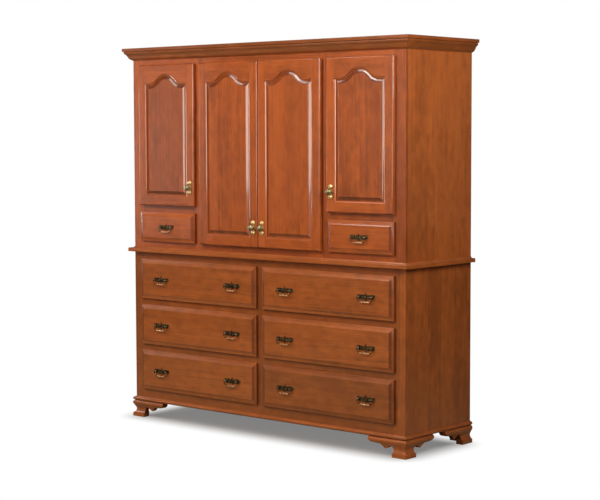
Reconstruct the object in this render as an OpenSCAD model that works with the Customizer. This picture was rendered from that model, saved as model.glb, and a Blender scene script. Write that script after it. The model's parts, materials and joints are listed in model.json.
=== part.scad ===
// Two-piece mule chest: six wide drawers below, four arched panel doors and two small drawers above.
// X runs along the width, the front faces -Y, Z is up and the floor is at zero.
// Every module draws its piece with y = 0 on the front of the face frame.
// chest_place() then centres the whole chest on its footprint.

/* [Case] */
// Height from the floor to the top of the crown
total_h = 2000; // [1980:5:2030]
// Width of the case over its two sides
case_w = 1836; // [1780:4:1900]
// Depth of the case, from the front of the face frame to the back
case_d = 540; // [520:5:600]
// Height of the joint between the base case and the upper case
waist_z = 924; // [920:1:934]
// Thickness of the solid boards
board_t = 19; // [18:0.5:20]
// Thickness of the plywood backs and drawer bottoms
ply_t = 6; // [5:0.5:6.5]
// Thickness of the glue in a joint
glue = 0.1; // [0.05:0.05:0.15]

/* [Face frames] */
// Width of a corner stile that shows beside the doors and drawers
corner_show = 59; // [55:1:66]
// Width of an upper stile that shows between an outer and a centre door
divider_show = 41; // [36:1:48]
// Width of the middle stile that shows between the wide drawers
middle_show = 40; // [36:1:48]
// Lap of a door or drawer front over its opening
overlay = 10; // [9.5:0.5:11]
// Gap behind the doors and drawer fronts, kept open by their felt bumpers
bumper_gap = 2.5; // [2.5:0.1:3]

/* [Doors] */
// Thickness of the doors and drawer fronts
front_t = 19; // [19:0.5:21]
// Gap between the two centre doors
centre_gap = 4; // [3:0.5:5]
// Height of the top edge of all four doors
door_top_z = 1908; // [1890:1:1912]
// Height of the bottom edge of the centre doors and the small drawers
centre_door_z = 966; // [962:1:974]
// Height of the bottom edge of the outer doors
outer_door_z = 1160; // [1156:1:1180]
// Width of the stiles and rails of a door, with their moulded edge
door_rail_w = 57; // [54:1:62]
// Rise of the arch over its shoulders
arch_rise = 50; // [40:1:56]
// Length of the level shoulder at each end of the arch
shoulder_w = 28; // [24:1:34]
// Width of the moulded inner edge of a door frame
sticking_w = 8; // [6:0.5:9]
// Depth of the moulded inner edge of a door frame
sticking_d = 5.5; // [4:0.5:6]
// Width of the sloping border round a raised door panel
panel_bevel = 20; // [16:1:22]

/* [Drawers] */
// Height of a wide drawer front
wide_front_h = 215; // [205:1:218]
// Height of a rail that shows between two wide drawers
rail_show = 32.5; // [30:0.5:36]
// Height of the bottom edge of the lowest drawer fronts
lowest_front_z = 158; // [152:1:160]
// Height of a small drawer front
small_front_h = 158; // [150:1:160]
// Width of the sloping border round a drawer front
front_bevel = 23; // [18:1:26]
// Depth of the sloping border at its outer edge
front_bevel_drop = 9; // [6:0.5:10]
// Depth of a drawer box behind its front
box_d = 500; // [440:5:505]
// Thickness of the drawer sides
box_t = 13; // [12:0.5:14]

/* [Mouldings and feet] */
// Height of the crown moulding
crown_h = 64; // [60:1:70]
// Projection of the crown moulding
crown_out = 44; // [41:1:48]
// Height of the waist moulding
waist_h = 28; // [26:1:32]
// Projection of the waist moulding
waist_out = 27; // [22:1:30]
// Height of the base moulding
base_mould_h = 20; // [19:1:24]
// Projection of the base moulding and of the feet
base_out = 15; // [12:1:18]
// Height of the bracket feet
foot_h = 89; // [84:1:96]
// Length of one bracket of a foot along the case
foot_len = 230; // [210:5:250]
// Thickness of the timber that the brackets are cut from
foot_t = 40; // [36:1:44]

/* [Brass fittings] */
// Distance between the two posts of a drawer pull
post_gap = 76; // [70:1:90]
// Drop of a bail's grip below its posts
bail_drop = 25; // [22:1:28]
// Distance of a bail's pivot from the drawer front
bail_out = 11; // [10:0.5:13]
// Reach of a door knob in front of its door
knob_out = 30; // [26:1:34]
// Distance of a knob from the free edge of its door
knob_in = 28; // [24:1:30]
// Height of a knob over the bottom edge of its door
knob_up = 100; // [90:1:120]

/* [Hidden] */
wood = [0.62, 0.29, 0.13];
wood_dark = [0.53, 0.25, 0.12];
wood_box = [0.80, 0.66, 0.46];
brass = [0.72, 0.58, 0.27];
steel = [0.70, 0.71, 0.72];

half_w = case_w / 2;
face_y = -bumper_gap - front_t;
back_y = case_d;
inside_y = case_d - ply_t - 6;
base_top_z = waist_z - board_t;
upper_top_z = total_h - board_t;
crown_z = total_h - crown_h;
side_in = half_w - board_t;
front_reach = -face_y + knob_out;

door_w = (half_w - corner_show - divider_show - centre_gap / 2) / 2;
outer_x = half_w - corner_show - door_w;
wide_w = half_w - corner_show - middle_show / 2;
wide_x = middle_show / 2;
row_pitch = wide_front_h + rail_show;
corner_w = corner_show + overlay;
divider_in = outer_x - divider_show - overlay;
divider_out = outer_x + overlay;
divider_mid = (divider_in + divider_out) / 2;
middle_w = middle_show + 2 * overlay;
floor_z = centre_door_z + overlay;
outer_floor_z = outer_door_z + overlay;
small_open_z = centre_door_z + small_front_h - overlay;
bottom_z = foot_h + 18;

// Straight pieces in each cove beside the arch
cove_steps = 5;

// Hinge pivot: distance in from the door's hinge edge, and in front of the door's back
hinge_in = 6;
hinge_fwd = 8;
hinge_up = 90;

// name, side of the hinges (-1 left, 1 right), left edge, bottom edge, height
DOORS = [
    ["outer_left", -1, -outer_x - door_w, outer_door_z, door_top_z - outer_door_z],
    ["centre_left", -1, -centre_gap / 2 - door_w, centre_door_z, door_top_z - centre_door_z],
    ["centre_right", 1, centre_gap / 2, centre_door_z, door_top_z - centre_door_z],
    ["outer_right", 1, outer_x, outer_door_z, door_top_z - outer_door_z]
];

// name, left edge, width, bottom edge, height, places of the pulls from the middle
wide_pulls = [["left", -0.3075 * wide_w], ["right", 0.3075 * wide_w]];
DRAWERS = [
    ["top_left", -wide_x - wide_w, wide_w, lowest_front_z + 2 * row_pitch, wide_front_h, wide_pulls],
    ["middle_left", -wide_x - wide_w, wide_w, lowest_front_z + row_pitch, wide_front_h, wide_pulls],
    ["bottom_left", -wide_x - wide_w, wide_w, lowest_front_z, wide_front_h, wide_pulls],
    ["top_right", wide_x, wide_w, lowest_front_z + 2 * row_pitch, wide_front_h, wide_pulls],
    ["middle_right", wide_x, wide_w, lowest_front_z + row_pitch, wide_front_h, wide_pulls],
    ["bottom_right", wide_x, wide_w, lowest_front_z, wide_front_h, wide_pulls],
    ["small_left", -outer_x - door_w, door_w, centre_door_z, small_front_h, [["only", 0]]],
    ["small_right", outer_x, door_w, centre_door_z, small_front_h, [["only", 0]]]
];

// Points along an arc about a centre, from one angle to another
function arc(centre, r, from, to, steps) =
    [for (i = [0:steps]) let (a = from + (to - from) * i / steps) centre + r * [cos(a), sin(a)]];

// The two heights of a board of thickness t that has its top at z
function under(z, t) = [z - t, z];

// Points along an arc of radius r from p to q that swells to the right of the way it goes,
// or to the left where side is -1
function bow(p, q, r, side, steps) =
    let (
        chord = norm(q - p),
        sideways = [q[1] - p[1], p[0] - q[0]] / chord,
        centre = (p + q) / 2 - side * sideways * sqrt(r * r - chord * chord / 4),
        from = atan2(p[1] - centre[1], p[0] - centre[0]),
        to = atan2(q[1] - centre[1], q[0] - centre[0]),
        turn = (to - from + 540) % 360 - 180
    )
    [for (i = [0:steps]) centre + r * [cos(from + turn * i / steps), sin(from + turn * i / steps)]];

module both_sides() {
    children();
    mirror([1, 0, 0]) children();
}

module chest_place() {
    translate([0, (front_reach - case_d) / 2, 0]) children();
}

module board(x, y, z) {
    translate([x[0], y[0], z[0]]) cube([x[1] - x[0], y[1] - y[0], z[1] - z[0]]);
}

// A flat shape drawn in x and z, made solid from y0 back to y1
module upright(y0, y1) {
    translate([0, y1, 0]) rotate([90, 0, 0]) linear_extrude(y1 - y0) children();
}

// A section drawn in y and z, made solid from x0 to x1
module along_x(x0, x1) {
    translate([x0, 0, 0]) rotate([90, 0, 90]) linear_extrude(x1 - x0) children();
}

// Base case: solid sides rabbeted for the back, and a partition between the two stacks of drawers
module side_panel(z0, z1) {
    difference() {
        board([side_in, half_w], [board_t + glue, back_y], [z0, z1]);
        board([side_in - 1, side_in + 9], [back_y - ply_t - glue, back_y + 1], [z0 - 1, z1 + 1]);
    }
}

module base_sides() {
    color(wood) both_sides() side_panel(foot_h, base_top_z - glue);
    color(wood_dark)
        board([-board_t / 2, board_t / 2], [board_t + glue, inside_y], [bottom_z + 13, base_top_z - glue]);
}

// Base face frame: two corner stiles, a middle stile and four rails on each side of it
module base_face_frame() {
    rails = [
        [foot_h, lowest_front_z + overlay],
        for (i = [1:2]) under(lowest_front_z + i * row_pitch + overlay, rail_show + 2 * overlay),
        [lowest_front_z + 3 * row_pitch - rail_show - overlay, base_top_z - glue]
    ];
    color(wood) {
        both_sides() board([half_w - corner_w, half_w], [0, board_t], [foot_h, base_top_z - glue]);
        board([-middle_w / 2, middle_w / 2], [0, board_t], [foot_h, base_top_z - glue]);
        both_sides() for (z = rails)
            board([middle_w / 2 + glue, half_w - corner_w - glue], [0, board_t], z);
    }
}

// One web frame: front and back rails, two runners, and a guide standing on each runner
module web_frame(x0, x1, open_x0, open_x1, top_z) {
    rail_d = 50;
    lap = 12;
    guide_h = 22;
    free = 1.5;
    y0 = board_t + glue;
    board([x0, x1], [y0, y0 + rail_d], [top_z - board_t, top_z]);
    board([x0, x1], [inside_y - rail_d, inside_y], [top_z - board_t, top_z]);
    for (run = [[x0, open_x0 + lap], [open_x1 - lap, x1]])
        board(run, [y0 + rail_d + glue, inside_y - rail_d - glue], [top_z - board_t, top_z]);
    for (guide = [[x0, open_x0 + free], [open_x1 - free, x1]])
        board(guide, [y0, inside_y], [top_z + glue, top_z + guide_h]);
}

// Frames under each wide drawer, the base top, and the dust bottom
module base_web_frames() {
    color(wood_dark) {
        both_sides() for (row = [0:2])
            web_frame(board_t / 2 + glue, side_in - glue, middle_w / 2, half_w - corner_w,
                      lowest_front_z + overlay + row * row_pitch);
        board([-side_in + glue, side_in - glue], [board_t + glue, inside_y], [bottom_z, bottom_z + 12]);
    }
    color(wood) board([-half_w, half_w], [0, back_y], [base_top_z, waist_z - glue]);
}

module upper_sides() {
    color(wood) both_sides() side_panel(waist_z, upper_top_z - glue);
    color(wood_dark) both_sides()
        board([divider_mid - board_t / 2, divider_mid + board_t / 2], [board_t + glue, inside_y],
              [floor_z + glue, upper_top_z - glue]);
}

// Upper face frame: corner stiles, two stiles beside the centre doors, and rails between them
module upper_face_frame() {
    top_rail = [door_top_z - overlay, upper_top_z - glue];
    bottom_rail = [waist_z, floor_z];
    color(wood) {
        both_sides() board([half_w - corner_w, half_w], [0, board_t], [waist_z, upper_top_z - glue]);
        both_sides() board([divider_in, divider_out], [0, board_t], [waist_z, upper_top_z - glue]);
        for (z = [top_rail, bottom_rail])
            board([-divider_in + glue, divider_in - glue], [0, board_t], z);
        both_sides() for (z = [top_rail, bottom_rail, [small_open_z, outer_floor_z]])
            board([divider_out + glue, half_w - corner_w - glue], [0, board_t], z);
    }
}

// Floor, ceilings and shelves of the upper case, and the guides of its two small drawers
module upper_shelves() {
    part_in = divider_mid - board_t / 2 - glue;
    part_out = divider_mid + board_t / 2 + glue;
    outer_step = (upper_top_z - outer_floor_z) / 3;
    centre_step = (upper_top_z - floor_z) / 3;
    deep = [board_t + glue, inside_y];
    shelf_deep = [board_t + 22, inside_y];
    color(wood_dark) {
        board([-side_in + glue, side_in - glue], deep, [floor_z - board_t, floor_z]);
        both_sides() board([part_out, side_in - glue], deep, [outer_floor_z - board_t, outer_floor_z]);
        both_sides() for (i = [1:2])
            board([part_out, side_in - glue], shelf_deep, under(outer_floor_z + i * outer_step, board_t));
        for (i = [1:2])
            board([-part_in, part_in], shelf_deep, under(floor_z + i * centre_step, board_t));
        both_sides() for (x = [[part_out, divider_out + 1.5], [half_w - corner_w - 1.5, side_in - glue]])
            board(x, deep, [floor_z + glue, floor_z + 22]);
    }
    color(wood) board([-half_w, half_w], [0, back_y], [upper_top_z, total_h]);
}

module back_panels() {
    color(wood_box) for (z = [[foot_h, base_top_z - glue], [waist_z + glue, upper_top_z - glue]])
        board([-side_in - 8, side_in + 8], [back_y - ply_t, back_y], z);
}

// Sections of the mouldings, drawn with u outwards from the case and v upwards
module crown_section() {
    lip = 17;
    bead_u = crown_out - 7;
    waist = [crown_out / 2 - 0.5, 19];
    bead_foot = [bead_u - 2, crown_h - lip - 12];
    polygon([
        [0, 0], [3, 0],
        each bow([4, 1.5], waist, 29, 1, 6),
        each bow(waist + [0.6, 1], bead_foot - [0.8, 0.4], 33, -1, 6),
        bead_foot,
        each arc([bead_u - 3, crown_h - lip - 6], 4, -55, 55, 5),
        [bead_u - 1, crown_h - lip],
        [crown_out - 3, crown_h - lip],
        each arc([crown_out - 3, crown_h - lip + 3], 3, -60, 0, 3),
        each arc([crown_out - 3, crown_h - 3], 3, 0, 90, 4),
        [0, crown_h]
    ]);
}

module waist_section() {
    lip = waist_h - 8;
    polygon([
        [0, 0], [waist_out - 2, 0],
        each arc([waist_out - 2, 2], 2, -90, 0, 2),
        each arc([waist_out - 3, lip - 3], 3, 0, 80, 3),
        each arc([11, lip + 9], 9, -95, -165, 4),
        [2, waist_h], [0, waist_h]
    ]);
}

module base_section() {
    nose_r = 8;
    polygon([
        [0, 0], [base_out - nose_r, 0],
        each arc([base_out - nose_r, nose_r + 1], nose_r, -80, 80, 9),
        [4, base_mould_h - 1.5], [3, base_mould_h], [0, base_mould_h]
    ]);
}

// A moulding mitred round the front and both sides of the case, out to reach from the case
module mitred_round(z, reach) {
    far = half_w + reach;
    translate([0, 0, z]) {
        intersection() {
            along_x(-far, far) mirror([1, 0]) children();
            linear_extrude(total_h)
                polygon([
                    [-half_w, 0], [half_w, 0],
                    [half_w + 2 * reach, -2 * reach], [-half_w - 2 * reach, -2 * reach]
                ]);
        }
        both_sides() difference() {
            translate([half_w, back_y, 0]) rotate([90, 0, 0]) linear_extrude(back_y + reach) children();
            translate([half_w, glue, -1]) linear_extrude(total_h)
                polygon([[-1, 1], [-1, -2 * reach], [2 * reach, -2 * reach]]);
        }
    }
}

module mouldings() {
    color(wood) {
        mitred_round(crown_z, crown_out) crown_section();
        mitred_round(waist_z - 19, waist_out) waist_section();
        mitred_round(foot_h, base_out) base_section();
    }
}

// Ogee section of a bracket, with u outwards from the back of the timber and v upwards
module ogee_section() {
    polygon([
        [0, 0], [foot_t - 0.5, 0], [foot_t - 0.5, 15],
        each arc([foot_t + 7, 39.5], 22, 248.7, 149.8, 8),
        each arc([foot_t - 14, foot_h - 14], 14, -30.2, 85, 8),
        [foot_t - 14, foot_h - glue], [0, foot_h - glue]
    ]);
}

// Scrolled outline of a bracket, with u from the corner of the foot and v upwards
module bracket_outline() {
    toe = 84;
    polygon([
        [0, 0], [toe, 0], [toe, 10],
        each arc([toe + 18, 27], 21, 215, 165, 5),
        each arc([101, 38], 15, 155, 50, 6),
        [119, 43], [128, 38], [136, 36], [143, 40], [149, 48], [156, 52], [160, 57],
        each arc([206, 86], 26, 268, 340, 6),
        [foot_len, 86], [foot_len, foot_h], [0, foot_h]
    ]);
}

// One bracket standing along +x from the corner at the origin, its moulded face towards -y
module front_bracket() {
    intersection() {
        along_x(0, foot_len) translate([foot_t, 0]) mirror([1, 0]) ogee_section();
        upright(-1, foot_t + 1) bracket_outline();
    }
}

// The half of a corner nearer the front bracket, cut along the mitre
module mitre_half(side) {
    cut = foot_len + 10;
    along = [[0, -glue], [cut, -glue], [cut, cut - glue]];
    translate([0, 0, -1]) linear_extrude(foot_h + 2)
        polygon(side > 0 ? along : [for (p = along) [p[1], p[0]]]);
}

// Front foot: two mitred brackets glued round a corner block
module front_foot() {
    intersection() {
        front_bracket();
        mitre_half(1);
    }
    intersection() {
        multmatrix([[0, 1, 0, 0], [1, 0, 0, 0], [0, 0, 1, 0], [0, 0, 0, 1]]) front_bracket();
        mitre_half(-1);
    }
    board([foot_t + glue, foot_t + 20], [foot_t + glue, foot_t + 20], [6, foot_h - glue]);
}

// Back foot: an ogee bracket along the side and a plain one across the back, with a block between
module back_foot() {
    multmatrix([[0, 1, 0, 0], [1, 0, 0, 0], [0, 0, 1, 0], [0, 0, 0, 1]]) front_bracket();
    translate([foot_t + glue, 0, 0]) difference() {
        upright(0, board_t) bracket_outline();
        board([foot_len - foot_t, foot_len + 1], [-1, board_t + 1], [-1, foot_h + 1]);
    }
    board([foot_t + glue, foot_t + 20], [board_t + glue, board_t + 20], [6, foot_h - glue]);
}

module bracket_feet() {
    color(wood) both_sides() {
        translate([-half_w - base_out, -base_out, 0]) front_foot();
        translate([-half_w - base_out, back_y, 0]) mirror([0, 1, 0]) back_foot();
    }
}

// Outline of a door's panel opening, drawn d inside its edge: level shoulders and an arch of three arcs
function door_outline(w, h, d) =
    let (
        span = w / 2 - door_rail_w - shoulder_w,
        r = (span * span + arch_rise * arch_rise) / (4 * arch_rise),
        turn = asin(span / (2 * r)),
        spring_z = h - door_rail_w - arch_rise,
        left = [door_rail_w + shoulder_w, spring_z + r],
        right = [w - door_rail_w - shoulder_w, spring_z + r],
        crest = [w / 2, spring_z + arch_rise - r]
    )
    [
        [door_rail_w + d, door_rail_w + d],
        [w - door_rail_w - d, door_rail_w + d],
        [w - door_rail_w - d, spring_z - d],
        each arc(right, r + d, -90, -90 - turn, cove_steps),
        each arc(crest, r - d, 90 - turn + 2 * turn / 9, 90 + turn - 2 * turn / 9, 7),
        each arc(left, r + d, -90 + turn, -90, cove_steps),
        [door_rail_w + d, spring_z - d]
    ];

// A solid through a series of door outlines, each given as [d, y], from front to back.
// Its two flat ends are a fan below the shoulders and level strips across the arch.
module door_loft(w, h, rings) {
    n = len(door_outline(w, h, 0));
    last = (len(rings) - 1) * n;
    points = [for (ring = rings) for (p = door_outline(w, h, ring[0])) [p[0], ring[1], p[1]]];
    sides = [for (k = [0:n:last - n]) for (i = [0:n - 1]) let (j = (i + 1) % n)
        [k + i, k + j, k + n + j, k + n + i]];
    cap = [[0, 1, 2], [0, 2, 3], [0, 3, n - 2], [0, n - 2, n - 1],
           for (i = [3:n / 2 - 1]) [i, i + 1, n - i, n + 1 - i]];
    polyhedron(points, [
        for (f = cap) [for (i = [len(f) - 1:-1:0]) f[i]],
        for (f = cap) [for (i = f) last + i],
        each sides
    ]);
}

// Blank of a door with its front edges rounded over
module door_blank(w, h) {
    r = 6;
    intersection() {
        linear_extrude(h) rounded_edge_section(w, r);
        translate([0, 0, h]) rotate([0, 90, 0]) linear_extrude(w) rounded_edge_section(h, r);
    }
}

module rounded_edge_section(length, r) {
    polygon([
        [0, -bumper_gap], [0, face_y + r], each arc([r, face_y + r], r, 198, 270, 4),
        each arc([length - r, face_y + r], r, 270, 342, 4), [length, face_y + r], [length, -bumper_gap]
    ]);
}

// Outline of the left stile of a door: full length, wider between the rails
function stile_outline(w, h) =
    let (narrow = door_rail_w - sticking_w, wide = door_rail_w - glue, spring_z = h - door_rail_w - arch_rise)
    [[0, 0], [narrow, 0], [narrow, door_rail_w], [wide, door_rail_w],
     [wide, spring_z], [narrow, spring_z], [narrow, h], [0, h]];

function hinge_heights(h) = [hinge_up, h - hinge_up];

// Door frame: two stiles, a straight rail and an arched rail, moulded and grooved for the panel
module door_frame(door) {
    h = door[4];
    groove_w = 6.4;
    groove_y = face_y + 9.8;
    narrow = door_rail_w - sticking_w;
    cup_x = hinge_in + cup_offset;
    moulded = [
        [-sticking_w - 1, face_y - 1], [-sticking_w, face_y],
        for (a = [30:30:90]) [-sticking_w * cos(a), face_y + sticking_d * sin(a)],
        [0, 1]
    ];
    color(wood) translate([door[2], 0, door[3]]) difference() {
        intersection() {
            door_blank(door_w, h);
            upright(face_y - 1, 1) {
                polygon(stile_outline(door_w, h));
                translate([door_w, 0]) mirror([1, 0]) polygon(stile_outline(door_w, h));
                translate([narrow + glue, 0]) square([door_w - 2 * narrow - 2 * glue, door_rail_w - glue]);
                translate([narrow + glue, h - door_rail_w - arch_rise + glue])
                    square([door_w - 2 * narrow - 2 * glue, door_rail_w + arch_rise]);
            }
        }
        door_loft(door_w, h, moulded);
        upright(groove_y, groove_y + groove_w) polygon(door_outline(door_w, h, -sticking_w));
        for (z = hinge_heights(h))
            translate([door[1] < 0 ? cup_x : door_w - cup_x, -bumper_gap + 1, z])
                rotate([90, 0, 0]) cylinder(r = cup_r + 0.1, h = cup_deep + 1.1, $fn = 48);
    }
}

// Raised panel: a thin tongue in the frame's groove, a sloping border and a flat field
module door_panel(door) {
    tongue_y = face_y + 10;
    tongue_t = 6;
    color(wood) translate([door[2], 0, door[3]]) door_loft(door_w, door[4], [
        [panel_bevel, face_y + 1], [panel_bevel, face_y + 2.4],
        [2, tongue_y], [2 - sticking_w, tongue_y], [2 - sticking_w, tongue_y + tongue_t]
    ]);
}

// Concealed hinge, seen from above with the pivot at the origin and the case's opening towards +x
cup_r = 17.5;
cup_deep = 11.4;
cup_offset = 14.3;
knuckle_r = 2.2;
pin_r = 1;
arm_w = 9;

module hinge_cup() {
    flange = 1.2;
    hollow_x = [-2.7, 14.5];
    hollow_w = 10.4;
    back = hinge_fwd;
    difference() {
        union() {
            translate([cup_offset, back + flange / 2, 0]) rotate([90, 0, 0])
                cylinder(r = cup_r, h = cup_deep + flange / 2, $fn = 48);
            board([0, 30], [back, back + flange], [-24, 24]);
        }
        board(hollow_x, [back - cup_deep + 0.8, back + 2], [-hollow_w / 2, hollow_w / 2]);
    }
    cylinder(r = pin_r, h = 16, center = true, $fn = 24);
}

module hinge_arm() {
    frame_x = overlay - hinge_in;
    frame_y = bumper_gap + hinge_fwd;
    difference() {
        translate([0, 0, -arm_w / 2]) linear_extrude(arm_w) union() {
            circle(r = knuckle_r, $fn = 24);
            translate([0, -1]) square([12.5, 2]);
            translate([10.5, -1]) square([2, frame_y + 2]);
            translate([frame_x, frame_y + 0.6]) square([12.5 - frame_x, board_t - 2]);
        }
        cylinder(r = pin_r + 0.05, h = arm_w + 2, center = true, $fn = 24);
    }
    board([frame_x, frame_x + 1.5], [frame_y + 1, frame_y + board_t - 1], [-24, 24]);
}

// Places one hinge part on a door, mirrored for a door that is hinged on the right
module at_hinges(door) {
    x = door[1] < 0 ? door[2] + hinge_in : door[2] + door_w - hinge_in;
    for (z = hinge_heights(door[4]))
        translate([x, -bumper_gap - hinge_fwd, door[3] + z]) mirror([door[1] < 0 ? 0 : 1, 0, 0]) children();
}

module hinge_arms() {
    color(steel) for (door = DOORS) at_hinges(door) hinge_arm();
}

// Turned knob on a lobed backplate, projecting towards -y from the origin
module knob() {
    plate_t = 2;
    rotate([90, 0, 0]) rotate_extrude($fn = 48) polygon([
        [0, plate_t], [8, plate_t], [8, plate_t + 1.5], [5, plate_t + 4], [4.5, 11], [6, 13.5],
        each arc([8.5, 20], 6.5, -80, 60, 8), [6, knob_out - 1], [0, knob_out]
    ]);
    upright(-plate_t, 0) union() {
        circle(r = 12.5, $fn = 12);
        for (s = [-1, 1]) {
            translate([0, s * 13]) circle(r = 7.5, $fn = 12);
            translate([0, s * 25]) circle(r = 12, $fn = 20);
        }
    }
}

module door_fittings(door) {
    knob_x = door[1] < 0 ? door[2] + door_w - knob_in : door[2] + knob_in;
    color(brass) translate([knob_x, face_y, door[3] + knob_up]) knob();
    color(steel) at_hinges(door) hinge_cup();
}

// Drawer front: a flat field with a sloping border mitred at its corners
module front_section(length) {
    edge_y = face_y + front_bevel_drop;
    polygon([
        [0, -bumper_gap], [0, edge_y + 2], [0.6, edge_y + 0.6], [2, edge_y],
        [front_bevel, face_y + 1.4], [front_bevel, face_y],
        [length - front_bevel, face_y], [length - front_bevel, face_y + 1.4],
        [length - 2, edge_y], [length - 0.6, edge_y + 0.6], [length, edge_y + 2], [length, -bumper_gap]
    ]);
}

module drawer_front(drawer) {
    w = drawer[2];
    h = drawer[4];
    color(wood) translate([drawer[1], 0, drawer[3]]) intersection() {
        linear_extrude(h) front_section(w);
        translate([0, 0, h]) rotate([0, 90, 0]) linear_extrude(w) front_section(h);
    }
}

// Dovetail tails along an end of a drawer side, drawn with u towards the end and v upwards
module tails(h, count, grow) {
    pitch = h / count;
    for (i = [0:count - 1]) {
        mid = (i + 0.5) * pitch;
        polygon([
            [-0.01 - grow, mid - 0.26 * pitch - grow], [box_t, mid - 0.36 * pitch - grow],
            [box_t, mid + 0.36 * pitch + grow], [-0.01 - grow, mid + 0.26 * pitch + grow]
        ]);
    }
}

// Drawer box: dovetailed sides, a front and a back between them, and a bottom held in grooves
module drawer_box(drawer) {
    free = 2;
    w = drawer[2] - 2 * overlay - 2 * free;
    open_h = drawer[4] - 2 * overlay;
    h = open_h - 9;
    count = h > 150 ? 4 : 3;
    y0 = -bumper_gap + glue;
    d = box_d - y0;
    groove_z = 12;
    groove_in = 6;
    color(wood_box) translate([drawer[1] + overlay + free, y0, drawer[3] + overlay + 0.3]) {
        for (side = [0, 1]) translate([side * w, 0, 0]) mirror([side, 0, 0]) difference() {
            along_x(0, box_t) {
                translate([box_t, 0]) square([d - 2 * box_t, h]);
                translate([d - box_t, 0]) tails(h, count, 0);
                translate([box_t, 0]) mirror([1, 0]) tails(h, count, 0);
            }
            board([box_t - groove_in, box_t + 1], [-1, d + 1], [groove_z, groove_z + ply_t + 0.2]);
        }
        for (end = [0, 1]) translate([0, end * d, 0]) mirror([0, end, 0]) difference() {
            board([0, w], [0, box_t - glue], [0, h]);
            for (side = [0, 1]) translate([side * w, 0, 0]) mirror([side, 0, 0])
                along_x(-1, box_t + glue) translate([box_t, 0]) mirror([1, 0]) tails(h, count, glue);
            board([box_t, w - box_t], [box_t - groove_in, box_t + 1], [groove_z, groove_z + ply_t + 0.2]);
        }
        board([box_t - groove_in + glue, w - box_t + groove_in - glue],
              [box_t - groove_in + glue, d - box_t + groove_in - glue],
              [groove_z + 0.1, groove_z + 0.1 + ply_t]);
    }
}

// Right half of a pull's backplate, from the tip at the top round the wing to the middle of the bottom
function plate_half(post_x) = [
    [0, 23], [3, 17], each arc([13, 19], 10.2, 205, 265, 3), each arc([22, 3], 9.4, 130, 60, 3),
    each arc([post_x, 1], 11.5, 130, 50, 4), each arc([post_x + 12, 6.5], 5, 110, -50, 4),
    [post_x + 21, 0], [post_x + 14, -3.5], each arc([post_x, -1], 11, -30, -130, 5),
    each arc([19, -7], 7, -20, -140, 4), each arc([0, -8], 10, -25, -90, 4)
];

function mirrored_outline(half) = concat(half, [for (i = [len(half) - 2:-1:1]) [-half[i][0], half[i][1]]]);

// Pierced backplate of a pull with its two ball posts, projecting towards -y from the origin
module pull_plate() {
    plate_t = 1.6;
    ball_r = 5.2;
    neck_r = 3.4;
    bore_r = 1.7;
    post_x = post_gap / 2;
    upright(-plate_t, 0) difference() {
        polygon(mirrored_outline(plate_half(post_x)));
        for (s = [-1, 1]) {
            translate([s * 20, 0]) circle(r = 3.2, $fn = 8);
            translate([s * 9, 4]) circle(r = 2.6, $fn = 8);
            translate([s * (post_x + 14), 4]) circle(r = 2, $fn = 8);
            translate([s * post_x, 0]) circle(r = neck_r, $fn = 24);
        }
        translate([0, 12]) circle(r = 2.6, $fn = 8);
    }
    for (s = [-1, 1]) translate([s * post_x, 0, 0]) difference() {
        rotate([90, 0, 0]) rotate_extrude($fn = 32) polygon([
            [0, 0], [neck_r - 0.05, 0], [neck_r - 0.05, bail_out - 4],
            each arc([0, bail_out], ball_r, -49, 90, 8)
        ]);
        translate([0, -bail_out, 0]) rotate([0, 90, 0])
            cylinder(r = bore_r, h = 3 * ball_r, center = true, $fn = 24);
    }
}

// Swinging bail: pins in the posts, a ball and a bend at each side, and a turned grip
module bail() {
    bar_r = 2.2;
    pin = 1.6;
    bend = 20;
    ball_x = post_gap / 2 + 9;
    grip_x = ball_x - bend;
    both_sides() {
        translate([post_gap / 2 - 4, 0, 0]) rotate([0, 90, 0]) cylinder(r = pin, h = 13, $fn = 24);
        translate([ball_x, 0, 0]) sphere(r = 3, $fn = 32);
        translate([ball_x, 0, bend - bail_drop]) cylinder(r = bar_r, h = bail_drop - bend, $fn = 24);
        translate([grip_x, 0, bend - bail_drop]) rotate([90, 0, 0]) rotate([0, 0, -90])
            rotate_extrude(angle = 90, $fn = 48) translate([bend, 0]) circle(r = bar_r, $fn = 24);
    }
    translate([0, 0, -bail_drop]) rotate([0, 90, 0]) rotate_extrude($fn = 32) polygon([
        [0, -grip_x], [bar_r, -grip_x], [3.2, -22], each arc([1.4, -16.5], 3, -60, 60, 4),
        [2.4, -12], [2.4, -7], each arc([1.2, 0], 3.4, -60, 60, 6), [2.4, 7], [2.4, 12],
        each arc([1.4, 16.5], 3, -60, 60, 4), [3.2, 22], [bar_r, grip_x], [0, grip_x]
    ]);
}

function pull_place(drawer, pull) =
    [drawer[1] + drawer[2] / 2 + pull[1], face_y, drawer[3] + drawer[4] / 2];

module pull_plates(drawer) {
    color(brass) for (pull = drawer[5]) translate(pull_place(drawer, pull)) pull_plate();
}

module drawer_bail(drawer, pull) {
    color(brass) translate(pull_place(drawer, pull) - [0, bail_out, 0]) bail();
}

chest_place() base_sides();
chest_place() base_face_frame();
chest_place() base_web_frames();
chest_place() bracket_feet();
chest_place() upper_sides();
chest_place() upper_face_frame();
chest_place() upper_shelves();
chest_place() back_panels();
chest_place() mouldings();
chest_place() hinge_arms();
for (d = DOORS) {
    chest_place() door_frame(d);
    chest_place() door_panel(d);
    chest_place() door_fittings(d);
}
for (d = DRAWERS) {
    chest_place() drawer_front(d);
    chest_place() drawer_box(d);
    chest_place() pull_plates(d);
    for (p = d[5])
        chest_place() drawer_bail(d, p);
}
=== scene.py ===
import json
import random
from math import cos, degrees, pi, radians, sin, tau

import bmesh
import bpy
from mathutils import Matrix, Vector

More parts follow.
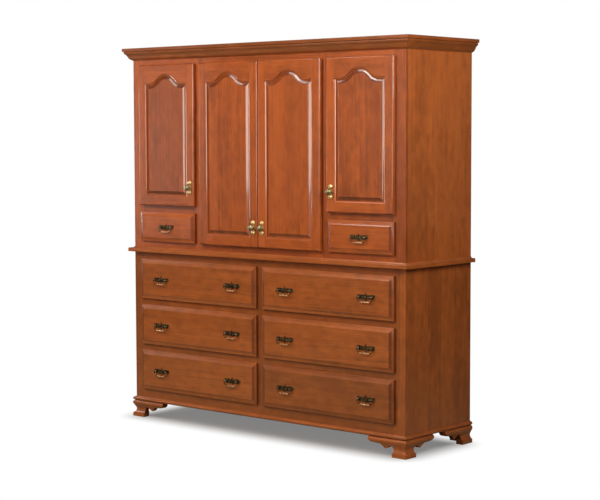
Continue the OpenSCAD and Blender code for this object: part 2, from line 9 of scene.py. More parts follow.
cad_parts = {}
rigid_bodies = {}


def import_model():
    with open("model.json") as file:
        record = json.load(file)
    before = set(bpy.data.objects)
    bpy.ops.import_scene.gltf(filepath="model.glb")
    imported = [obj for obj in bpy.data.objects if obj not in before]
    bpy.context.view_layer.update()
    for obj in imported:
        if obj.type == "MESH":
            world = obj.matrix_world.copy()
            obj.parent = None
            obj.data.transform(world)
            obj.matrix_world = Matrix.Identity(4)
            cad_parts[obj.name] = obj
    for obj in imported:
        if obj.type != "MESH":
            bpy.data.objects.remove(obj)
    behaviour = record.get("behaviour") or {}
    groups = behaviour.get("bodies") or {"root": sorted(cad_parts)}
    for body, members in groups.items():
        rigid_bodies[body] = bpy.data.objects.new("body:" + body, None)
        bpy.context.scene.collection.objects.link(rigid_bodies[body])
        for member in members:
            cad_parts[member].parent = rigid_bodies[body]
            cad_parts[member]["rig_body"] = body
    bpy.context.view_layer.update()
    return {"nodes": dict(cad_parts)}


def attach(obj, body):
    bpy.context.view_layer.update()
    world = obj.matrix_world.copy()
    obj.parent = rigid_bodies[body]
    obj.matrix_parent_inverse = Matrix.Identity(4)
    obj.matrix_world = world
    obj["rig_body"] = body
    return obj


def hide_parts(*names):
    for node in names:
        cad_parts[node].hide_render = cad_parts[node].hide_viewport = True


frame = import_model()
scene = bpy.context.scene


# The camera
# Stands to the right of the chest at eye height and looks slightly down at it. Its place, aim and
# focal length come from the straight edges of the case.
camera_place = (5.4054, -6.2475, 1.5492)
camera_azimuth, camera_pitch, camera_roll = 40.576, -4.227, -0.151
camera_focal_px = 1595.0
picture_width_px = 600.0

camera = bpy.data.objects.new("camera", bpy.data.cameras.new("camera"))
camera.data.sensor_width = 36.0
camera.data.lens = camera_focal_px * camera.data.sensor_width / picture_width_px
camera.matrix_world = (
    Matrix.Translation(camera_place)
    @ Matrix.Rotation(radians(camera_azimuth), 4, "Z")
    @ Matrix.Rotation(radians(90 + camera_pitch), 4, "X")
    @ Matrix.Rotation(radians(camera_roll), 4, "Z")
)
scene.collection.objects.link(camera)
scene.camera = camera


# The lower case: sides and partition
# Solid cherry panels glued up from boards about 110 mm wide, stained a warm red brown and finished
# with a satin lacquer. The partition stands between the two stacks of drawers.
def shader(tree, kind, inputs=None, **options):
    """Adds one shader node, with its options set and its inputs given a value or joined to a socket."""
    made = tree.nodes.new("ShaderNode" + kind)
    for name, value in options.items():
        setattr(made, name, value)
    for name, value in (inputs or {}).items():
        if isinstance(value, bpy.types.NodeSocket):
            tree.links.new(value, made.inputs[name])
        else:
            made.inputs[name].default_value = value
    return made


def maths(tree, operation, a, b=0.0, c=0.0, clamp=False):
    return shader(tree, "Math", {0: a, 1: b, 2: c}, operation=operation, use_clamp=clamp).outputs[0]


def noise(tree, place, stretch, detail=3.0, rough=0.55):
    """Noise at the given number of patches a metre across, through and along the grain."""
    scaled = shader(tree, "VectorMath", {0: place, 1: stretch}, operation="MULTIPLY").outputs[0]
    return shader(
        tree, "TexNoise", {"Vector": scaled, "Scale": 1.0, "Detail": detail, "Roughness": rough}
    ).outputs["Fac"]


def blend_colours(tree, amount, first, second, mode="MIX"):
    made = shader(tree, "Mix", data_type="RGBA", blend_type=mode)
    made.clamp_factor = True
    for socket, value in zip((0, 6, 7), (amount, first, second)):
        if isinstance(value, bpy.types.NodeSocket):
            tree.links.new(value, made.inputs[socket])
        else:
            made.inputs[socket].default_value = value
    return made.outputs[2]


def new_group(name, inputs, outputs):
    """Starts a shader group; inputs and outputs are lists of (name, kind, value)."""
    tree = bpy.data.node_groups.new(name, "ShaderNodeTree")
    for label, kind, value in inputs:
        socket = tree.interface.new_socket(label, in_out="INPUT", socket_type="NodeSocket" + kind)
        if value is not None:
            socket.default_value = value
    for label, kind in outputs:
        tree.interface.new_socket(label, in_out="OUTPUT", socket_type="NodeSocket" + kind)
    return tree, tree.nodes.new("NodeGroupInput").outputs, tree.nodes.new("NodeGroupOutput").inputs


def wood_figure_group():
    """The figure of a board: glued staves, growth rings, fibres, cloudy mottle and small gum flecks."""
    tree, given, result = new_group(
        "wood_figure",
        [
            ("Board", "Vector", None), ("Tone", "Float", 0.5), ("Eased", "Float", 0.0),
            ("End", "Float", 0.0), ("Stave", "Float", 0.11), ("Ring", "Float", 0.0065),
            ("Contrast", "Float", 1.0), ("Pale", "Color", (0.5, 0.2, 0.07, 1)),
            ("Deep", "Color", (0.3, 0.09, 0.03, 1)), ("Ruddy", "Color", (0.4, 0.08, 0.03, 1)),
            ("Sheen", "Float", 0.3),
        ],
        [("Color", "Color"), ("Roughness", "Float"), ("Height", "Float")],
    )
    board, tone, eased = given["Board"], given["Tone"], given["Eased"]

    # Each stave is cut from a place of its own in the log, so the figure breaks at the glue lines.
    stave_reach, tone_step = (0.12, 0.05, 7.0), 83.0
    across = shader(tree, "SeparateXYZ", {0: board}).outputs[0]
    stave = maths(tree, "FLOOR", maths(tree, "DIVIDE", across, given["Stave"]))
    key = shader(
        tree, "CombineXYZ", {0: stave, 1: maths(tree, "MULTIPLY", tone, tone_step)}).outputs[0]
    chance = shader(tree, "TexWhiteNoise", {"Vector": key}, noise_dimensions="3D").outputs["Color"]
    moved = shader(tree, "VectorMath", {0: chance, 1: stave_reach}, operation="MULTIPLY").outputs[0]
    log = shader(tree, "VectorMath", {0: board, 1: moved}, operation="ADD").outputs[0]
    picks = shader(tree, "SeparateXYZ", {0: chance}).outputs

    # The growth rings lie round the heart of the log, which wanders and sways along its length.
    heart_depth, wander_reach, sway_reach, sway_turns, ring_edge = 0.03, 0.035, 0.05, 2.1, 2.5
    place = shader(tree, "SeparateXYZ", {0: log}).outputs
    wander = maths(tree, "MULTIPLY", noise(tree, log, (9, 9, 1.6), 2), wander_reach)
    sway = maths(tree, "MULTIPLY", maths(tree, "SUBTRACT", picks[1], 0.5), sway_reach)
    wave = maths(tree, "SINE", maths(tree, "MULTIPLY", place[2], sway_turns))
    side = maths(tree, "ADD", maths(tree, "ADD", place[0], wander), maths(tree, "MULTIPLY", wave, sway))
    depth = maths(tree, "ADD", place[1], heart_depth)
    radius = maths(tree, "SQRT", maths(tree, "ADD", maths(tree, "MULTIPLY", side, side),
                                       maths(tree, "MULTIPLY", depth, depth)))
    turn = maths(tree, "FRACT", maths(tree, "DIVIDE", radius, given["Ring"]))
    ring = maths(tree, "POWER", turn, ring_edge)

    # The finer marks, and how much each one darkens the wood.
    fleck_limit = 0.74
    fibre = noise(tree, log, (900, 900, 14), 4, 0.65)
    streak = noise(tree, log, (60, 60, 2.2), 4, 0.6)
    cloud = noise(tree, log, (26, 26, 15), 3, 0.5)
    broad = noise(tree, log, (8, 8, 2.0), 2, 0.5)
    fleck = maths(tree, "GREATER_THAN", noise(tree, log, (420, 420, 70), 1, 0.4), fleck_limit)

    def centred(value, weight):
        return maths(tree, "MULTIPLY", maths(tree, "SUBTRACT", value, 0.5), weight)

    shade = centred(streak, 0.8)
    for value, weight in (
        (ring, 0.34), (fibre, 0.62), (cloud, 1.0), (broad, 0.6), (tone, 0.36), (picks[2], 0.24)
    ):
        shade = maths(tree, "ADD", shade, centred(value, weight))
    shade = maths(tree, "MULTIPLY_ADD", shade, given["Contrast"], 0.5, clamp=True)
    plain = blend_colours(tree, shade, given["Pale"], given["Deep"])

    # Ruddy clouds, dark gum flecks, pale worn arrises, and end grain that drinks more stain.
    ruddy_from, ruddy_slope, ruddy_share, fleck_share, worn_share = 0.42, 2.2, 0.55, 0.45, 0.3
    thirst_from, thirst_full, end_stain = 0.10, 0.40, (0.50, 0.42, 0.44, 1)
    ruddy = noise(tree, log, (19, 19, 5), 2, 0.5)
    ruddy = maths(tree, "MULTIPLY_ADD", maths(tree, "SUBTRACT", ruddy, ruddy_from), ruddy_slope, 0.0,
                  clamp=True)
    coloured = blend_colours(tree, maths(tree, "MULTIPLY", ruddy, ruddy_share), plain, given["Ruddy"])
    dotted = blend_colours(tree, maths(tree, "MULTIPLY", fleck, fleck_share), coloured, given["Deep"])
    worn = blend_colours(tree, maths(tree, "MULTIPLY", eased, worn_share), dotted, given["Pale"])
    thirsty = shader(tree, "MapRange", {0: given["End"], 1: thirst_from, 2: thirst_full, 3: 0.0, 4: 1.0},
                     interpolation_type="SMOOTHSTEP").outputs[0]
    tree.links.new(blend_colours(tree, thirsty, worn, end_stain, mode="MULTIPLY"), result["Color"])

    # The lacquer lies a little rougher over the fibres and where it was wiped.
    fibre_dulling, wiped_dulling, ring_height = 0.08, 0.10, 0.25
    wiped = noise(tree, log, (14, 14, 9), 2, 0.5)
    uneven = maths(tree, "ADD", centred(fibre, fibre_dulling), centred(wiped, wiped_dulling))
    tree.links.new(maths(tree, "ADD", given["Sheen"], uneven), result["Roughness"])
    tree.links.new(maths(tree, "ADD", fibre, maths(tree, "MULTIPLY", ring, ring_height)), result["Height"])
    return tree


wood_figure = wood_figure_group()


def finished_wood(name, pale, deep, ruddy, stave, contrast=1.6, sheen=0.36, coat=1.0):
    """A board's finish: the figure under a lacquer. Stave is the width of the boards in a glued panel."""
    relief = 0.00008
    material = bpy.data.materials.new(name)
    material.use_nodes = True
    tree = material.node_tree
    surface = tree.nodes["Principled BSDF"]
    figure = shader(tree, "Group", node_tree=wood_figure)
    for label, attribute, output in (
        ("Board", "board", "Vector"), ("Tone", "tone", "Fac"), ("Eased", "eased", "Fac"),
        ("End", "end_grain", "Fac"),
    ):
        read = shader(tree, "Attribute", attribute_name=attribute)
        tree.links.new(read.outputs[output], figure.inputs[label])
    for label, value in (
        ("Stave", stave), ("Contrast", contrast), ("Pale", (*pale, 1)), ("Deep", (*deep, 1)),
        ("Ruddy", (*ruddy, 1)), ("Sheen", sheen),
    ):
        figure.inputs[label].default_value = value
    bump = shader(
        tree, "Bump", {"Strength": 1.0, "Distance": relief, "Height": figure.outputs["Height"]})
    tree.links.new(figure.outputs["Color"], surface.inputs["Base Color"])
    tree.links.new(figure.outputs["Roughness"], surface.inputs["Roughness"])
    tree.links.new(bump.outputs["Normal"], surface.inputs["Normal"])
    surface.inputs["Coat Weight"].default_value = coat
    surface.inputs["Coat Roughness"].default_value = 0.09
    surface.inputs["Coat IOR"].default_value = 1.6
    surface.inputs["IOR"].default_value = 1.5
    return material


cherry_panel = finished_wood(
    "cherry_panel", (0.53, 0.134, 0.0245), (0.25, 0.062, 0.0118), (0.40, 0.084, 0.0150), stave=0.11)


def eased_boards(node, easing, crease=32.0, shape=None):
    """A copy of a CAD node's boards: welded, each flat face in one piece, and every arris eased."""
    weld, flat = 1e-6, radians(0.5)
    work = bmesh.new()
    work.from_mesh(frame["nodes"][node].data)
    bmesh.ops.remove_doubles(work, verts=work.verts, dist=weld)
    bmesh.ops.dissolve_limit(
        work, angle_limit=flat, verts=work.verts, edges=work.edges, delimit={"NORMAL"})
    if shape:
        shape(work)
    eased = work.faces.layers.float.new("eased")
    arrises = [
        e for e in work.edges if len(e.link_faces) == 2 and degrees(e.calc_face_angle(0)) > crease]
    cut = bmesh.ops.bevel(
        work, geom=arrises, offset=easing, segments=2, profile=0.5, affect="EDGES",
        clamp_overlap=True)
    for face in cut["faces"]:
        face[eased] = 1.0
    return work


def corners(points):
    """The lowest and the highest corner of the box round some points."""
    return (Vector([min(point.co[i] for point in points) for i in range(3)]),
            Vector([max(point.co[i] for point in points) for i in range(3)]))


def separate_boards(work):
    """The boards of a piece, as lists of points that hang together, from left to right."""
    left = set(work.verts)
    boards = []
    for start in work.verts:
        if start not in left:
            continue
        left.remove(start)
        board, edge = [start], [start]
        while edge:
            for link in edge.pop().link_edges:
                for point in link.verts:
                    if point in left:
                        left.remove(point)
                        board.append(point)
                        edge.append(point)
        boards.append(board)
    return sorted(boards, key=lambda board: tuple(round(value, 5) for value in corners(board)[0]))


def lay_grain(work, seed, along=None, dark=None):
    """Gives each board a place of its own in the log: across, through and along its grain.
    Dark says how dark each board is made, 0 for pale and 1 or more for dark: its stain, and on the face
    frames and the crown painted shade as well. It's a list for the boards, or a function of the corners of
    a board's box. Left out, it's by chance."""
    across_reach, through_reach, along_reach = 0.05, 0.05, 60
    place = work.verts.layers.float_vector.new("board")
    tone = work.verts.layers.float.new("tone")
    end_grain = work.faces.layers.float.new("end_grain")
    chance = random.Random(seed)
    work.normal_update()
    for order, board in enumerate(separate_boards(work)):
        low, high = corners(board)
        by_size = sorted(range(3), key=lambda i: high[i] - low[i])
        length = by_size[2] if along is None else along
        width, thickness = [i for i in reversed(by_size) if i != length]
        start = Vector((chance.uniform(-across_reach, across_reach),
                        chance.uniform(0.0, through_reach), chance.uniform(0, along_reach)))
        if dark is None:
            shade = chance.random()
        else:
            shade = dark(low, high) if callable(dark) else dark[order]
        middle = (low + high) / 2
        for face in {face for point in board for face in point.link_faces}:
            face[end_grain] = abs(face.normal[length])
        for point in board:
            off = point.co - middle
            point[place] = start + Vector((off[width], off[thickness], off[length]))
            point[tone] = shade


def fit_piece(work, name, body, finish, node, crease=38.0):
    """Makes the finished piece, rides it on its body and lets it stand for its CAD node."""
    mesh = bpy.data.meshes.new(name)
    work.to_mesh(mesh)
    work.free()
    mesh.shade_smooth()
    mesh.set_sharp_from_angle(angle=radians(crease))
    mesh.materials.append(finish)
    piece = bpy.data.objects.new(name, mesh)
    scene.collection.objects.link(piece)
    even = piece.modifiers.new("even_shading", "WEIGHTED_NORMAL")
    even.keep_sharp = True
    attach(piece, body)
    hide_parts(node)
    return piece


def wooden_piece(node, finish, easing=0.0006, along=None, shape=None, dark=None,
                 crease=38.0):
    """Makes one CAD node's boards. Along is the axis of the grain, where it isn't the longest one."""
    work = eased_boards(node, easing, shape=shape)
    lay_grain(work, node, along, dark)
    fit_piece(work, node + "_boards", frame["nodes"][node]["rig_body"], finish, node, crease)


wooden_piece("base_sides", cherry_panel)


# The lower face frame
# Stiles and rails of solid cherry, 19 mm thick, joined flush and sanded level, glued to the front
# edges of the sides and the partition. This stock took the stain a little more golden.
cherry_golden = finished_wood(
    "cherry_golden", (0.50, 0.128, 0.0225), (0.24, 0.060, 0.0104), (0.38, 0.082, 0.0130), stave=1.0)
corner_stile_x = 0.8


def is_rail(low, high):
    return high.x - low.x > high.z - low.z


# Painted shade: the frame lies back behind the drawers and in their shade, so its boards are darkened. The
# rails are darkest, the left and middle stiles nearly as dark, and the right corner stile less.
def base_frame_painted_shade(low, high):
    if is_rail(low, high):
        return 0.95
    return 0.75 if low.x > corner_stile_x else 0.9


wooden_piece("base_face_frame", cherry_golden, easing=0.0003, dark=base_frame_painted_shade)


# Web frames, drawer guides and case top
# Maple rails and runners under each row of drawers, left pale under a clear coat, with a dust bottom
# and the case top. They're glued into the sides.
maple_clear = finished_wood(
    "maple_clear", (0.70, 0.52, 0.32), (0.55, 0.38, 0.21), (0.64, 0.43, 0.25), stave=0.14,
    contrast=0.8, sheen=0.42, coat=0.1)
wooden_piece("base_web_frames", maple_clear)


# The bracket feet
# Ogee brackets of solid cherry, mitred at the front corners, with a scrolled lower edge. They're
# glued to corner blocks under the case.
wooden_piece("bracket_feet", cherry_golden, easing=0.0008)


# The upper case: sides, partitions and face frame
# The upper case stands on the lower one and is made in the same way, with a partition at each side
# of the tall middle compartment.
wooden_piece("upper_sides", cherry_panel)
cherry_pale = (0.53, 0.116, 0.0176)
cherry_deep = (0.25, 0.053, 0.0084)
cherry_ruddy = (0.40, 0.071, 0.0105)
cherry_rail = finished_wood("cherry_rail", cherry_pale, cherry_deep, cherry_ruddy, stave=1.0)
over_doors_z = 1.9  # a rail that reaches above this lies over the doors


# Painted shade and light: the frame lies back behind the doors, so the rails between and under the doors
# are darkest and the rail over them less dark. The right corner stile is darkened and the left one
# lightened, for how the light falls across the front.
def upper_frame_painted_shading(low, high):
    if is_rail(low, high):
        return 0.6 if high.z > over_doors_z else 1.0
    if low.x > corner_stile_x:
        return 1.3
    return 0.7 if low.x > -corner_stile_x else 0.3


wooden_piece("upper_face_frame", cherry_rail, easing=0.0003, dark=upper_frame_painted_shading)


# Floors, shelves and top of the upper case
# Solid cherry boards fixed into the sides and partitions: the floor, the floors over the small
# drawers, six shelves, the drawer guides and the top board.
wooden_piece("upper_shelves", cherry_panel)


# The backs
# Thin maple plywood with the grain upright, a panel for each case, let into the rabbets of the
# sides.
maple_ply = finished_wood(
    "maple_ply", (0.66, 0.47, 0.28), (0.52, 0.35, 0.19), (0.60, 0.39, 0.22), stave=0.30,
    contrast=0.7, sheen=0.5, coat=0.05)
wooden_piece("back_panels", maple_ply, easing=0.0003, along=2)


# The mouldings
# Crown, waist and base mouldings of solid cherry, run to profile, mitred at the front corners and
# glued round the front and both sides.
# How dark each board is made. The crown's 1.5, deeper than any other board, is painted shade for its cove,
# which faces down under the lip; the waist and base values are the boards' own tone.
front_and_left_tone_and_shade = [1.5, 1.5, 0.2, 0.2, 0.5, 0.5]  # crown, waist, base: a front, then a side
right_tone_and_shade = [1.5, 0.7, 0.5]
wooden_piece("mouldings", cherry_golden, easing=0.0005,
             dark=front_and_left_tone_and_shade + right_tone_and_shade)


# The doors
# Each door is a frame of two stiles, a straight bottom rail and an arched top rail, with a moulded
# inner edge. The raised panel floats in the frame's groove.
doors = ["outer_left", "centre_left", "centre_right", "outer_right"]
cherry_door_panel = finished_wood(
    "cherry_door_panel", cherry_pale, cherry_deep, cherry_ruddy, stave=0.10)


def coved_border(work):
    """Hollows the sloping border between the field's edge and the rim, as the cutter leaves it."""
    hollow, steps = 0.0009, 6
    depths = sorted({round(point.co.y, 5) for point in work.verts})
    near, far = depths[1], depths[2]
    slopes = [e for e in work.edges if {round(point.co.y, 5) for point in e.verts} == {near, far}]
    cut = bmesh.ops.subdivide_edges(work, edges=slopes, cuts=steps - 1)
    for point in cut["geom_inner"]:
        if isinstance(point, bmesh.types.BMVert):
            down = (point.co.y - near) / (far - near)
            point.co.y += hollow * 4 * down * (1 - down)


door_stain = {  # left stile, bottom rail, top rail, right stile; panel
    "outer_left": ((0.3, 0.5, 0.7, 0.6), 0.9),
    "centre_left": ((0.85, 0.4, 0.6, 0.4), 0.6),
    "centre_right": ((0.2, 0.65, 0.4, 0.5), 0.45),
    "outer_right": ((0.0, 0.0, 0.35, 0.8), 1.0),
}
crisp_mitres = 12.0
for door in doors:
    frame_stain, panel_stain = door_stain[door]
    wooden_piece(f"{door}_door_frame", cherry_rail, easing=0.0004, dark=frame_stain)
    wooden_piece(f"{door}_door_panel", cherry_door_panel, easing=0.0004, along=2, shape=coved_border,
                 dark=[panel_stain], crease=crisp_mitres)


# Knobs and hinges
# Cast brass, browned with age in its hollows and rubbed bright on what stands proud: a turned knob
# on a lobed backplate. The hinges are plated steel, a cup and pin on the door and an arm on the case.
def aged_metal_group():
    """Old metal: a dark patina broken by rubbed places and, on eased edges, by bright metal."""
    tree, given, result = new_group(
        "aged_metal",
        [
            ("Eased", "Float", 0.0), ("Bright", "Color", (0.8, 0.6, 0.3, 1)),
            ("Patina", "Color", (0.1, 0.06, 0.03, 1)), ("Rubbed", "Float", 0.4),
            ("Gloss", "Float", 0.25),
        ],
        [("Color", "Color"), ("Roughness", "Float"), ("Height", "Float")],
    )
    edge_wear, bare_from, bare_slope, patina_dulling, cast_grain = 0.6, 0.38, 3.2, 0.22, 0.1
    place = shader(tree, "TexCoord").outputs["Object"]
    patches = noise(tree, place, (160, 160, 160), 4, 0.6)
    grain = noise(tree, place, (1400, 1400, 1400), 2, 0.5)
    bare = maths(tree, "ADD", patches, maths(tree, "MULTIPLY", given["Eased"], edge_wear))
    bare = maths(tree, "ADD", bare, maths(tree, "SUBTRACT", given["Rubbed"], 0.5))
    bare = maths(
        tree, "MULTIPLY_ADD", maths(tree, "SUBTRACT", bare, bare_from), bare_slope, 0.0, clamp=True)
    tree.links.new(blend_colours(tree, bare, given["Patina"], given["Bright"]), result["Color"])
    dull = maths(tree, "MULTIPLY", maths(tree, "SUBTRACT", 1.0, bare), patina_dulling)
    speckle = maths(tree, "MULTIPLY", maths(tree, "SUBTRACT", grain, 0.5), cast_grain)
    tree.links.new(
        maths(tree, "ADD", maths(tree, "ADD", given["Gloss"], dull), speckle), result["Roughness"])
    tree.links.new(maths(tree, "ADD", grain, maths(tree, "MULTIPLY", patches, 0.5)), result["Height"])
    return tree


aged_metal = aged_metal_group()


def metal(name, bright, patina, rubbed, gloss):
    """Cast or plated metal with its patina. Rubbed says how much of it is bare."""
    relief = 0.00004
    material = bpy.data.materials.new(name)
    material.use_nodes = True
    tree = material.node_tree
    surface = tree.nodes["Principled BSDF"]
    finish = shader(tree, "Group", node_tree=aged_metal)
    read = shader(tree, "Attribute", attribute_name="eased")
    tree.links.new(read.outputs["Fac"], finish.inputs["Eased"])
    for label, value in (
        ("Bright", (*bright, 1)), ("Patina", (*patina, 1)), ("Rubbed", rubbed), ("Gloss", gloss),
    ):
        finish.inputs[label].default_value = value
    bump = shader(
        tree, "Bump", {"Strength": 1.0, "Distance": relief, "Height": finish.outputs["Height"]})
    tree.links.new(finish.outputs["Color"], surface.inputs["Base Color"])
    tree.links.new(finish.outputs["Roughness"], surface.inputs["Roughness"])
    tree.links.new(bump.outputs["Normal"], surface.inputs["Normal"])
    surface.inputs["Metallic"].default_value = 1.0
    return material


brass_knob = metal("brass_knob", (0.60, 0.56, 0.32), (0.17, 0.155, 0.075), 0.48, 0.28)
brass_bright = metal("brass_bright", (0.95, 0.76, 0.36), (0.48, 0.36, 0.15), 0.8, 0.40)
steel_plated = metal("steel_plated", (0.62, 0.62, 0.60), (0.38, 0.37, 0.35), 0.6, 0.25)


def keep_boards(work, wanted):
    """Leaves only the separate solids of a piece for which wanted(low, high) is true."""
    for board in separate_boards(work):
        if not wanted(*corners(board)):
            bmesh.ops.delete(work, geom=board, context="VERTS")
    return work


door_front_y = -0.27


def is_knob(low, high):
    return low.y < door_front_y


def crown_lobes(work, rise):
    """Raises a smooth dome on each of the two round lobes of a knob's backplate."""
    plate_thickness, slack = 0.002, 0.0004
    lobe_r, lobe_inset, rings, spokes = 0.0116, 0.012, 8, 32
    low, high = corners(work.verts)
    middle_x = (low.x + high.x) / 2
    plate_front = high.y - plate_thickness
    for face in work.faces:
        face.material_index = int(face.calc_center_median().y > plate_front - slack)
    for centre_z in (low.z + lobe_inset, high.z - lobe_inset):
        loops = []
        for i in range(rings):
            turn = pi / 2 * i / rings
            out, up = lobe_r * cos(turn), rise * sin(turn)
            loops.append([
                work.verts.new((middle_x + out * cos(tau * k / spokes), plate_front - up,
                                centre_z + out * sin(tau * k / spokes))) for k in range(spokes)])
        crest = work.verts.new((middle_x, plate_front - rise, centre_z))
        for lower, upper in zip(loops, loops[1:]):
            for k in range(spokes):
                j = (k + 1) % spokes
                work.faces.new((lower[k], lower[j], upper[j], upper[k])).material_index = 1
        for k in range(spokes):
            work.faces.new((loops[-1][k], loops[-1][(k + 1) % spokes], crest)).material_index = 1
    return work


cast_easing, cast_crease, lobe_rise = 0.0003, 45, 0.005
for door in doors:
    node, body = f"{door}_door_fittings", f"{door}_door"
    knob = crown_lobes(keep_boards(eased_boards(node, cast_easing, cast_crease), is_knob), lobe_rise)
    knob_piece = fit_piece(knob, f"{door}_door_knob", body, brass_knob, node)
    knob_piece.data.materials.append(brass_bright)
    cups = keep_boards(
        eased_boards(node, cast_easing, cast_crease), lambda low, high: not is_knob(low, high))
    fit_piece(cups, f"{door}_door_hinge_cups", body, steel_plated, node)
arms = eased_boards("hinge_arms", cast_easing, cast_crease)
fit_piece(arms, "case_hinge_arms", "case", steel_plated, "hinge_arms")


# The drawers
# A solid cherry front with a bevelled border, screwed to a dovetailed maple box with its bottom held
# in grooves.
wide_drawers = [f"{row}_{side}" for side in ("left", "right") for row in ("top", "middle", "bottom")]
small_drawers = ["small_left", "small_right"]
front_stain = {
    "top_left": 0.45, "middle_left": 0.4, "bottom_left": 0.45,
    "top_right": 0.5, "middle_right": 0.4, "bottom_right": 0.95,
    "small_left": 0.25, "small_right": 0.35,
}
for drawer in wide_drawers + small_drawers:
    wood = cherry_golden if drawer in wide_drawers else cherry_rail
    wooden_piece(f"{drawer}_drawer_front", wood, easing=0.0005, shape=coved_border,
                 dark=[front_stain[drawer]], crease=crisp_mitres)
    wooden_piece(f"{drawer}_drawer_box", maple_clear, easing=0.0003)


# The pulls
# A pierced cast backplate, dark with patina, two ball posts and a swinging bail with a turned grip.
# The posts go through the front and are held by nuts inside the drawer.
brass_plate = metal("brass_plate", (0.70, 0.50, 0.22), (0.040, 0.030, 0.018), 0.40, 0.30)
brass_post = metal("brass_post", (0.50, 0.46, 0.34), (0.08, 0.065, 0.040), 0.46, 0.20)
brass_bail = metal("brass_bail", (0.95, 0.66, 0.38), (0.16, 0.09, 0.05), 0.62, 0.30)
plate_front_y, plate_crease, grip_half = -0.269, 40, 0.030
bail_easing, bail_crease, bail_smoothing = 0.0001, 80, 50
for drawer in wide_drawers + small_drawers:
    node, body = f"{drawer}_drawer_pull_plates", f"{drawer}_drawer"
    plates = eased_boards(node, cast_easing, plate_crease)
    for board in separate_boards(plates):
        if corners(board)[0].y < plate_front_y:
            for face in {face for point in board for face in point.link_faces}:
                face.material_index = 1
    plate_piece = fit_piece(plates, node + "_cast", body, brass_plate, node)
    plate_piece.data.materials.append(brass_post)
    for side in ("only",) if drawer in small_drawers else ("left", "right"):
        node = f"{drawer}_drawer_{side}_bail"
        bail = eased_boards(node, bail_easing, bail_crease)
        low, high = corners(bail.verts)
        middle_x = (low.x + high.x) / 2
        for face in bail.faces:
            face.material_index = int(abs(face.calc_center_median().x - middle_x) < grip_half)
        bail_piece = fit_piece(
            bail, node + "_cast", node, brass_plate, node, crease=bail_smoothing)
        bail_piece.data.materials.append(brass_bail)


# The floor
# A plain pale floor that runs out to white further off, with a painted soft shadow under the chest. Inside
# a soft-edged rectangle round the footprint, the camera sees the matt floor as the lamps light it, in a
# darker tint and with some white mixed in. Outside that rectangle it sees plain white emission. It's the
# stage, and no part of the chest.
floor_mesh = bpy.data.meshes.new("floor")
floor_reach = 14.0
floor_mesh.from_pydata(
    [(x * floor_reach, y * floor_reach, 0.0) for x, y in ((-1, -1), (1, -1), (1, 1), (-1, 1))],
    [], [(0, 1, 2, 3)])
floor = bpy.data.objects.new("floor", floor_mesh)
scene.collection.objects.link(floor)
floor_finish = bpy.data.materials.new("pale_floor")
floor_finish.use_nodes = True
tree = floor_finish.node_tree
tree.nodes.remove(tree.nodes["Principled BSDF"])
place = shader(tree, "SeparateXYZ", {0: shader(tree, "TexCoord").outputs["Object"]}).outputs


def beyond(coordinate, middle, half):
    """How far a coordinate lies outside a strip of the floor."""
    off = maths(tree, "ABSOLUTE", maths(tree, "SUBTRACT", coordinate, middle))
    return maths(tree, "MAXIMUM", maths(tree, "SUBTRACT", off, half), 0.0)


# The painted shadow: its rectangle, the width of its soft edge, and the share of white in its deepest
# part.
shadow_half_x, shadow_half_y, shadow_middle_y = 0.845, 0.18, -0.005
shadow_edge, shadow_lift = 0.21, 0.212
off_x = beyond(place[0], 0.0, shadow_half_x)
off_y = beyond(place[1], shadow_middle_y, shadow_half_y)
clear = maths(tree, "SQRT", maths(tree, "ADD", maths(tree, "MULTIPLY", off_x, off_x),
                                  maths(tree, "MULTIPLY", off_y, off_y)))
far_off = shader(tree, "MapRange", {0: clear, 1: 0.0, 2: shadow_edge, 3: shadow_lift, 4: 1.0},
                 interpolation_type="SMOOTHSTEP")
seen = shader(tree, "LightPath").outputs["Is Camera Ray"]
# For the camera the matt floor has a dark grey tint, far darker than a pale floor, so that the painted
# shadow inside the rectangle comes out deep and flat.
bounced_tint, painted_shadow_tint = (0.34, 0.26, 0.15, 1), (0.30, 0.27, 0.255, 1)
tint = blend_colours(tree, seen, bounced_tint, painted_shadow_tint)
matt = shader(tree, "BsdfDiffuse", {"Color": tint})
white = shader(tree, "Emission", {"Color": (1, 1, 1, 1), "Strength": 1.0})
faded = shader(tree, "MixShader", {0: maths(tree, "MULTIPLY", far_off.outputs[0], seen),
                                   1: matt.outputs[0], 2: white.outputs[0]})
tree.links.new(faded.outputs[0], tree.nodes["Material Output"].inputs["Surface"])
floor.data.materials.append(floor_finish)


# The studio light
# Soft boxes, as in a photo studio: one in front, doubled by a card that only shows in the
# lacquer, one like a window far up on the left, two high in front, one over the right side, two weak
# ones on the left and one behind that lights the back.
warm_white, plain_white = (1.0, 0.93, 0.83), (1.0, 1.0, 1.0)


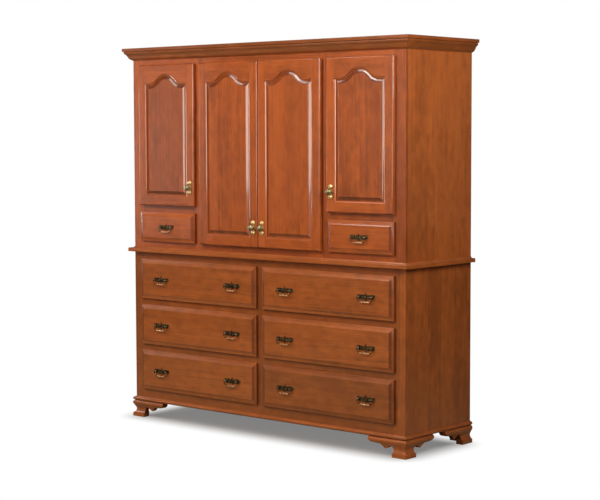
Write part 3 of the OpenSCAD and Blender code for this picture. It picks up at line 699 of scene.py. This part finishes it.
def soft_box(name, place, aim, width, height, watts, colour=plain_white, seen_in_gloss=True,
             lights_up=True):
    """An area light at a place, turned to its aim. One may show only in reflections, or never there."""
    light = bpy.data.lights.new(name, "AREA")
    light.shape, light.size, light.size_y = "RECTANGLE", width, height
    light.energy, light.color = watts, colour
    lamp = bpy.data.objects.new(name, light)
    lamp.location = place
    lamp.rotation_mode = "QUATERNION"
    lamp.rotation_quaternion = (Vector(aim) - Vector(place)).to_track_quat("-Z", "Y")
    lamp.visible_camera = False
    lamp.visible_glossy, lamp.visible_diffuse = seen_in_gloss, lights_up
    scene.collection.objects.link(lamp)


soft_box("key_box", (0.35, -2.9, 1.7), (0.3, -0.2, 1.6), 1.6, 1.1, 17, warm_white)
soft_box("key_card", (0.35, -2.91, 1.7), (0.3, -0.2, 1.6), 1.6, 1.1, 15, warm_white, lights_up=False)
soft_box("window_box", (-2.1, -4.0, 3.9), (0.2, -0.27, 1.2), 0.7, 0.7, 63, seen_in_gloss=False)
soft_box("high_box", (-0.3, -2.6, 3.35), (0.1, 0.0, 1.2), 0.9, 0.8, 25, warm_white)
soft_box("high_left_box", (-1.45, -2.6, 3.85), (0.0, 0.0, 1.2), 1.4, 1.0, 18, warm_white)
soft_box("side_box", (2.5, -0.9, 2.35), (0.92, 0.15, 1.7), 0.8, 1.3, 39)
soft_box("left_box", (-3.85, -3.0, 1.5), (-0.6, -0.2, 1.2), 1.3, 1.7, 2)
soft_box("left_card", (-3.0, -0.9, 1.4), (0.0, -0.27, 1.2), 0.7, 0.9, 15)
soft_box("back_box", (-1.6, 3.4, 2.4), (0.0, 0.27, 1.1), 1.6, 1.6, 40, seen_in_gloss=False)

studio = bpy.data.worlds.new("studio")
scene.world = studio
studio.use_nodes = True
tree = studio.node_tree
seen = shader(tree, "LightPath").outputs["Is Camera Ray"]
backdrop = tree.nodes["Background"]
backdrop.inputs["Color"].default_value = (1, 1, 1, 1)
backdrop.inputs["Strength"].default_value = 1.0
dim_room = (0.08, 0.06, 0.045, 1)
dim = shader(tree, "Background", {"Color": dim_room, "Strength": 1.0})
split = shader(tree, "MixShader", {0: seen, 1: dim.outputs[0], 2: backdrop.outputs[0]})
tree.links.new(split.outputs[0], tree.nodes["World Output"].inputs["Surface"])

scene.view_settings.view_transform = "Standard"
